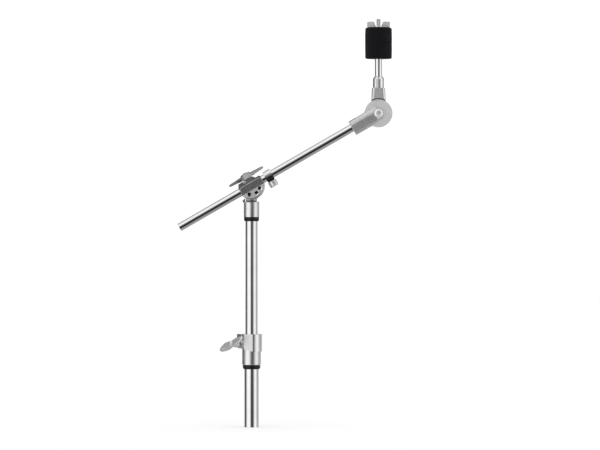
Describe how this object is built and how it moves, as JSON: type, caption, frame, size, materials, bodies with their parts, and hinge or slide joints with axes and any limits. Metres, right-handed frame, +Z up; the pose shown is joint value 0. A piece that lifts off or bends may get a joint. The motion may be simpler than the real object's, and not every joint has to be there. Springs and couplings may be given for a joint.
{
  "type": "cymbal boom stand top",
  "caption": "Upper section of a cymbal boom stand: telescoping post, tilting boom holder, sliding boom and toothed tilter with felts and wing nut.",
  "frame": {"origin": "post axis at the lower end of the lower tube", "axes": "+Z up along the post, +X the way the boom rises, -Y the front, where the holder panel and the tilter bolt head face"},
  "size_m": [0.328, 0.0504, 0.6228],
  "materials": {
    "chrome_tube": "bright chrome plate on drawn steel tube",
    "chrome_cast": "chrome plate over a die casting",
    "satin_cast": "satin nickel plate over a zinc casting",
    "polished_steel": "polished and plated steel",
    "zinc_steel": "zinc-plated steel",
    "spring_steel": "spring steel",
    "dark_steel": "blackened steel",
    "black_plastic": "moulded black plastic",
    "nylon": "black nylon",
    "felt": "pressed black wool felt"
  },
  "bodies": {
    "post_lower": {"lower_tube": "chrome_tube", "height_trim_ring": "black_plastic", "clamp_sleeve": "chrome_cast", "height_rivet": "dark_steel", "height_clamp": "satin_cast", "height_stud": "zinc_steel"},
    "height_washer_body": {"height_washer": "zinc_steel"},
    "height_nut": {"height_wing_nut": "satin_cast"},
    "bushing": {"height_bushing": "nylon"},
    "post_upper": {"upper_tube": "chrome_tube", "base_trim_ring": "black_plastic", "base_rivet": "dark_steel", "boom_base": "chrome_cast", "pivot_pin": "zinc_steel"},
    "holder": {"boom_seat": "satin_cast", "boom_cap": "chrome_cast", "cap_pin": "polished_steel", "eye_bolt": "zinc_steel", "lift_spring": "spring_steel"},
    "holder_washer_body": {"holder_washer": "zinc_steel"},
    "holder_nut": {"holder_wing_nut": "satin_cast"},
    "liner": {"boom_liner": "nylon"},
    "boom": {"boom_tube": "chrome_tube", "tilter_socket": "satin_cast", "tilter_bolt": "polished_steel", "tilter_spring": "spring_steel"},
    "stopper": {"stopper_ring": "chrome_cast", "stopper_block": "black_plastic"},
    "stopper_washer_body": {"stopper_washer": "zinc_steel"},
    "stopper_thumb_screw": {"stopper_screw": "polished_steel"},
    "tilter_top": {"tilter_head": "satin_cast", "cymbal_rod": "chrome_tube", "seat_sleeve": "black_plastic", "felt_lower": "felt", "felt_upper": "felt"},
    "tilter_washer_body": {"tilter_washer": "zinc_steel"},
    "tilter_nut": {"tilter_wing_nut": "satin_cast"},
    "cymbal_washer_body": {"cymbal_washer": "zinc_steel"},
    "cymbal_nut": {"cymbal_wing_nut": "satin_cast"}
  },
  "joints": [
    {"name": "height_washer_slide", "type": "slide", "parent": "post_lower", "child": "height_washer_body", "axis": [-0.766, -0.6428, 0], "range_m": [0, 0.00201]},
    {"name": "height_nut_turn", "type": "hinge", "parent": "height_washer_body", "child": "height_nut", "pos_m": [-0.01003, 0.01195, 0.127], "axis": [-0.766, -0.6428, 0], "range_deg": [0, 720]},
    {"name": "post_turn", "type": "hinge", "parent": "post_lower", "child": "bushing", "pos_m": [0, 0, 0.13], "axis": [0, 0, 1], "continuous": true},
    {"name": "height_slide", "type": "slide", "parent": "bushing", "child": "post_upper", "axis": [0, 0, 1], "range_m": [-0.008, 0.075]},
    {"name": "boom_tilt", "type": "hinge", "parent": "post_upper", "child": "holder", "pos_m": [0, 0, 0.368], "axis": [0, -1, 0], "range_deg": [-45, 10]},
    {"name": "holder_washer_slide", "type": "slide", "parent": "holder", "child": "holder_washer_body", "axis": [-0.5, 0, 0.866], "range_m": [0, 0.00201]},
    {"name": "holder_nut_turn", "type": "hinge", "parent": "holder_washer_body", "child": "holder_nut", "pos_m": [0, 0.008, 0.368], "axis": [-0.5, 0, 0.866], "range_deg": [0, 720]},
    {"name": "boom_roll", "type": "hinge", "parent": "holder", "child": "liner", "pos_m": [0, -0.0065, 0.368], "axis": [0.866, 0, 0.5], "range_deg": [-120, 100]},
    {"name": "boom_slide", "type": "slide", "parent": "liner", "child": "boom", "axis": [0.866, 0, 0.5], "range_m": [-0.003, 0.092]},
    {"name": "stopper_slide", "type": "slide", "parent": "boom", "child": "stopper", "axis": [0.866, 0, 0.5], "range_m": [0, 0.138]},
    {"name": "stopper_washer_slide", "type": "slide", "parent": "stopper", "child": "stopper_washer_body", "axis": [0.5, 0, -0.866], "range_m": [0, 0.00121]},
    {"name": "stopper_screw_turn", "type": "hinge", "parent": "stopper_washer_body", "child": "stopper_thumb_screw", "pos_m": [0.02641, -0.0065, 0.38325], "axis": [0.5, 0, -0.866], "range_deg": [0, 540]},
    {"name": "tilter_tilt", "type": "hinge", "parent": "boom", "child": "tilter_top", "pos_m": [0.19371, -0.0065, 0.47868], "axis": [0, -1, 0], "range_deg": [-150, 55]},
    {"name": "tilter_washer_slide", "type": "slide", "parent": "boom", "child": "tilter_washer_body", "axis": [0, 1, 0], "range_m": [0, 0.00201]},
    {"name": "tilter_nut_turn", "type": "hinge", "parent": "tilter_washer_body", "child": "tilter_nut", "pos_m": [0.19371, -0.0065, 0.47868], "axis": [0, 1, 0], "range_deg": [0, 720]},
    {"name": "cymbal_washer_slide", "type": "slide", "parent": "tilter_top", "child": "cymbal_washer_body", "axis": [0, 0, 1], "range_m": [0, 0.00301]},
    {"name": "cymbal_nut_turn", "type": "hinge", "parent": "cymbal_washer_body", "child": "cymbal_nut", "pos_m": [0.19371, -0.0065, 0.6], "axis": [0, 0, 1], "range_deg": [0, 1080]}
  ],
  "couplings": [
    {"joint": "height_washer_slide", "follows": "height_nut_turn", "m_per_rad": 0.00015915},
    {"joint": "holder_washer_slide", "follows": "holder_nut_turn", "m_per_rad": 0.00015915},
    {"joint": "stopper_washer_slide", "follows": "stopper_screw_turn", "m_per_rad": 0.00012732},
    {"joint": "tilter_washer_slide", "follows": "tilter_nut_turn", "m_per_rad": 0.00015915},
    {"joint": "cymbal_washer_slide", "follows": "cymbal_nut_turn", "m_per_rad": 0.00015915}
  ]
}
